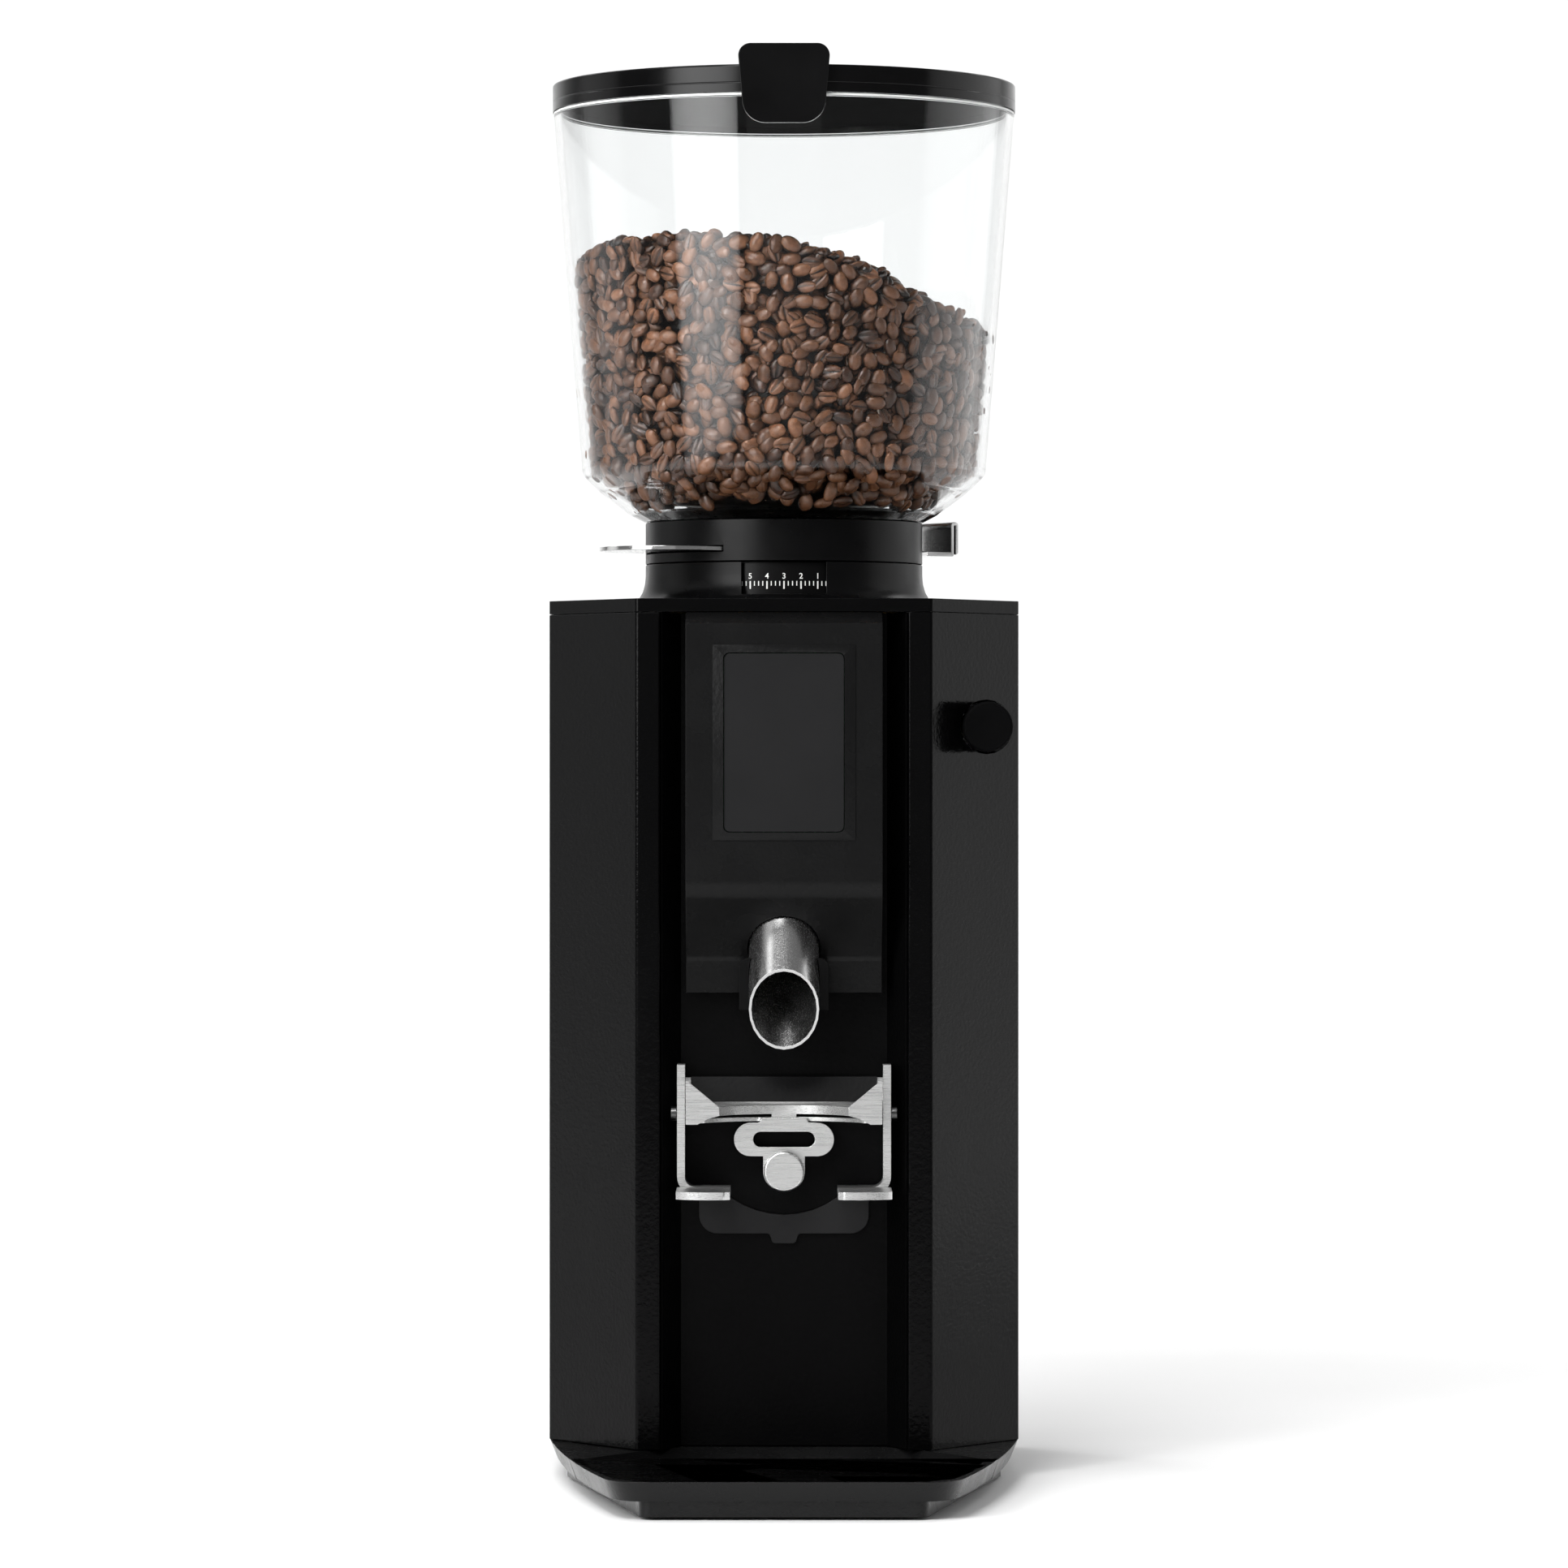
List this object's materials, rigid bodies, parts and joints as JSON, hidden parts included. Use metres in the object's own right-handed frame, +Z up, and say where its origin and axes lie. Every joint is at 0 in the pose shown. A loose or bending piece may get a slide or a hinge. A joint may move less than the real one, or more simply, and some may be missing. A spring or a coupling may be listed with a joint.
{
  "type": "burr coffee grinder",
  "caption": "Espresso coffee grinder with a clear bean hopper and shutter, flat burrs set by a worm and dial, a touch display, a portafilter fork and a grounds tray.",
  "frame": {"origin": "on the plane of the foot pads, in the middle of the width and of the depth", "axes": "+X to the right as seen from the front, +Y to the back, +Z up"},
  "size_m": [0.1936, 0.324, 0.5855],
  "materials": {
    "black_paint": "satin black powder coat with a fine orange-peel texture",
    "grey_paint": "dark grey satin",
    "black_plastic": "black satin moulding",
    "polished_steel": "finely brushed stainless steel with bright edges",
    "tool_steel": "ground steel",
    "cast_aluminium": "as cast",
    "brass": "machined",
    "clear_plastic": "clear, polished",
    "roasted_beans": "roasted coffee beans, slightly oily",
    "seal_ring": "translucent white silicone",
    "display_glass": "black glass",
    "circuit_board": "green solder mask",
    "stator_core": "laminated core and copper windings",
    "capacitor_case": "drawn can",
    "red_plastic": "glossy red moulding",
    "foot_rubber": "black rubber"
  },
  "bodies": {
    "cabinet": {"base_plate": "black_paint", "side_panel_left": "black_paint", "side_panel_right": "black_paint", "rear_cover": "black_paint", "recess_liner": "black_paint", "front_panel": "black_paint", "top_cap": "black_paint", "cap_collar": "black_paint", "motor_stand": "black_paint", "display_frame": "black_plastic", "spout_saddle": "black_plastic", "discharge_duct": "black_plastic", "splash_guard": "black_plastic", "power_inlet": "black_plastic", "power_switch_frame": "black_plastic", "spout_tube": "polished_steel", "fork_bracket": "polished_steel", "clip_pin_left": "polished_steel", "clip_pin_right": "polished_steel", "bearing_lower": "tool_steel", "bearing_upper": "tool_steel", "burr_chamber": "cast_aluminium", "motor_bell_bottom": "cast_aluminium", "motor_bell_top": "cast_aluminium", "worm_block_front": "cast_aluminium", "worm_block_rear": "cast_aluminium", "backing_plate": "grey_paint", "display_glass": "display_glass", "display_board": "circuit_board", "control_board": "circuit_board", "motor_stator": "stator_core", "run_capacitor": "capacitor_case", "foot_pad_fl": "foot_rubber", "foot_pad_fr": "foot_rubber", "foot_pad_rl": "foot_rubber", "foot_pad_rr": "foot_rubber"},
    "adjuster": {"dial_ring": "black_plastic", "adjustment_gear": "brass", "upper_burr_carrier": "cast_aluminium", "upper_burr": "tool_steel"},
    "worm": {"worm_shaft": "tool_steel", "adjustment_knob": "black_plastic"},
    "rotor": {"motor_rotor": "tool_steel", "motor_shaft": "tool_steel", "burr_rotor": "cast_aluminium", "lower_burr": "tool_steel"},
    "hopper_unit": {"hopper": "clear_plastic", "hopper_collar": "black_plastic", "hopper_floor": "black_plastic", "bean_fill": "roasted_beans"},
    "shutter": {"shutter_blade": "polished_steel"},
    "lid_unit": {"lid": "black_plastic", "lid_badge": "black_plastic", "lid_seal": "seal_ring"},
    "clip": {"portafilter_clip": "polished_steel", "clip_tongue": "polished_steel"},
    "screw": {"thumb_screw": "polished_steel"},
    "rocker": {"power_rocker": "red_plastic"},
    "tray": {"grounds_tray": "black_paint"}
  },
  "joints": [
    {"name": "dial_turn", "type": "hinge", "parent": "cabinet", "child": "adjuster", "pos_m": [0, 0.065, 0.309], "axis": [0, 0, 1], "range_deg": [-24, 24]},
    {"name": "worm_turn", "type": "hinge", "parent": "cabinet", "child": "worm", "pos_m": [0.083, 0.065, 0.309], "axis": [0, 1, 0], "range_deg": [-2160, 2160]},
    {"name": "motor_spin", "type": "hinge", "parent": "cabinet", "child": "rotor", "pos_m": [0, 0.065, 0.16], "axis": [0, 0, 1], "continuous": true},
    {"name": "hopper_lift", "type": "slide", "parent": "cabinet", "child": "hopper_unit", "axis": [0, 0, 1], "range_m": [0, 0.06]},
    {"name": "lid_lift", "type": "slide", "parent": "hopper_unit", "child": "lid_unit", "axis": [0, 0, 1], "range_m": [0, 0.05]},
    {"name": "shutter_slide", "type": "slide", "parent": "hopper_unit", "child": "shutter", "axis": [0.809, 0.5878, 0], "range_m": [0, 0.055]},
    {"name": "clip_tilt", "type": "hinge", "parent": "cabinet", "child": "clip", "pos_m": [0, -0.024, 0.1518], "axis": [1, 0, 0], "range_deg": [-15, 0]},
    {"name": "screw_turn", "type": "hinge", "parent": "clip", "child": "screw", "pos_m": [0, -0.02, 0.1282], "axis": [0, 1, 0], "range_deg": [-720, 720]},
    {"name": "power_rock", "type": "hinge", "parent": "cabinet", "child": "rocker", "pos_m": [0.051, 0.156, 0.05], "axis": [1, 0, 0], "range_deg": [-16, 0]},
    {"name": "tray_slide", "type": "slide", "parent": "cabinet", "child": "tray", "axis": [0, -1, 0], "range_m": [0, 0.12]}
  ],
  "couplings": [
    {"joint": "worm_turn", "follows": "dial_turn", "ratio": -90}
  ]
}
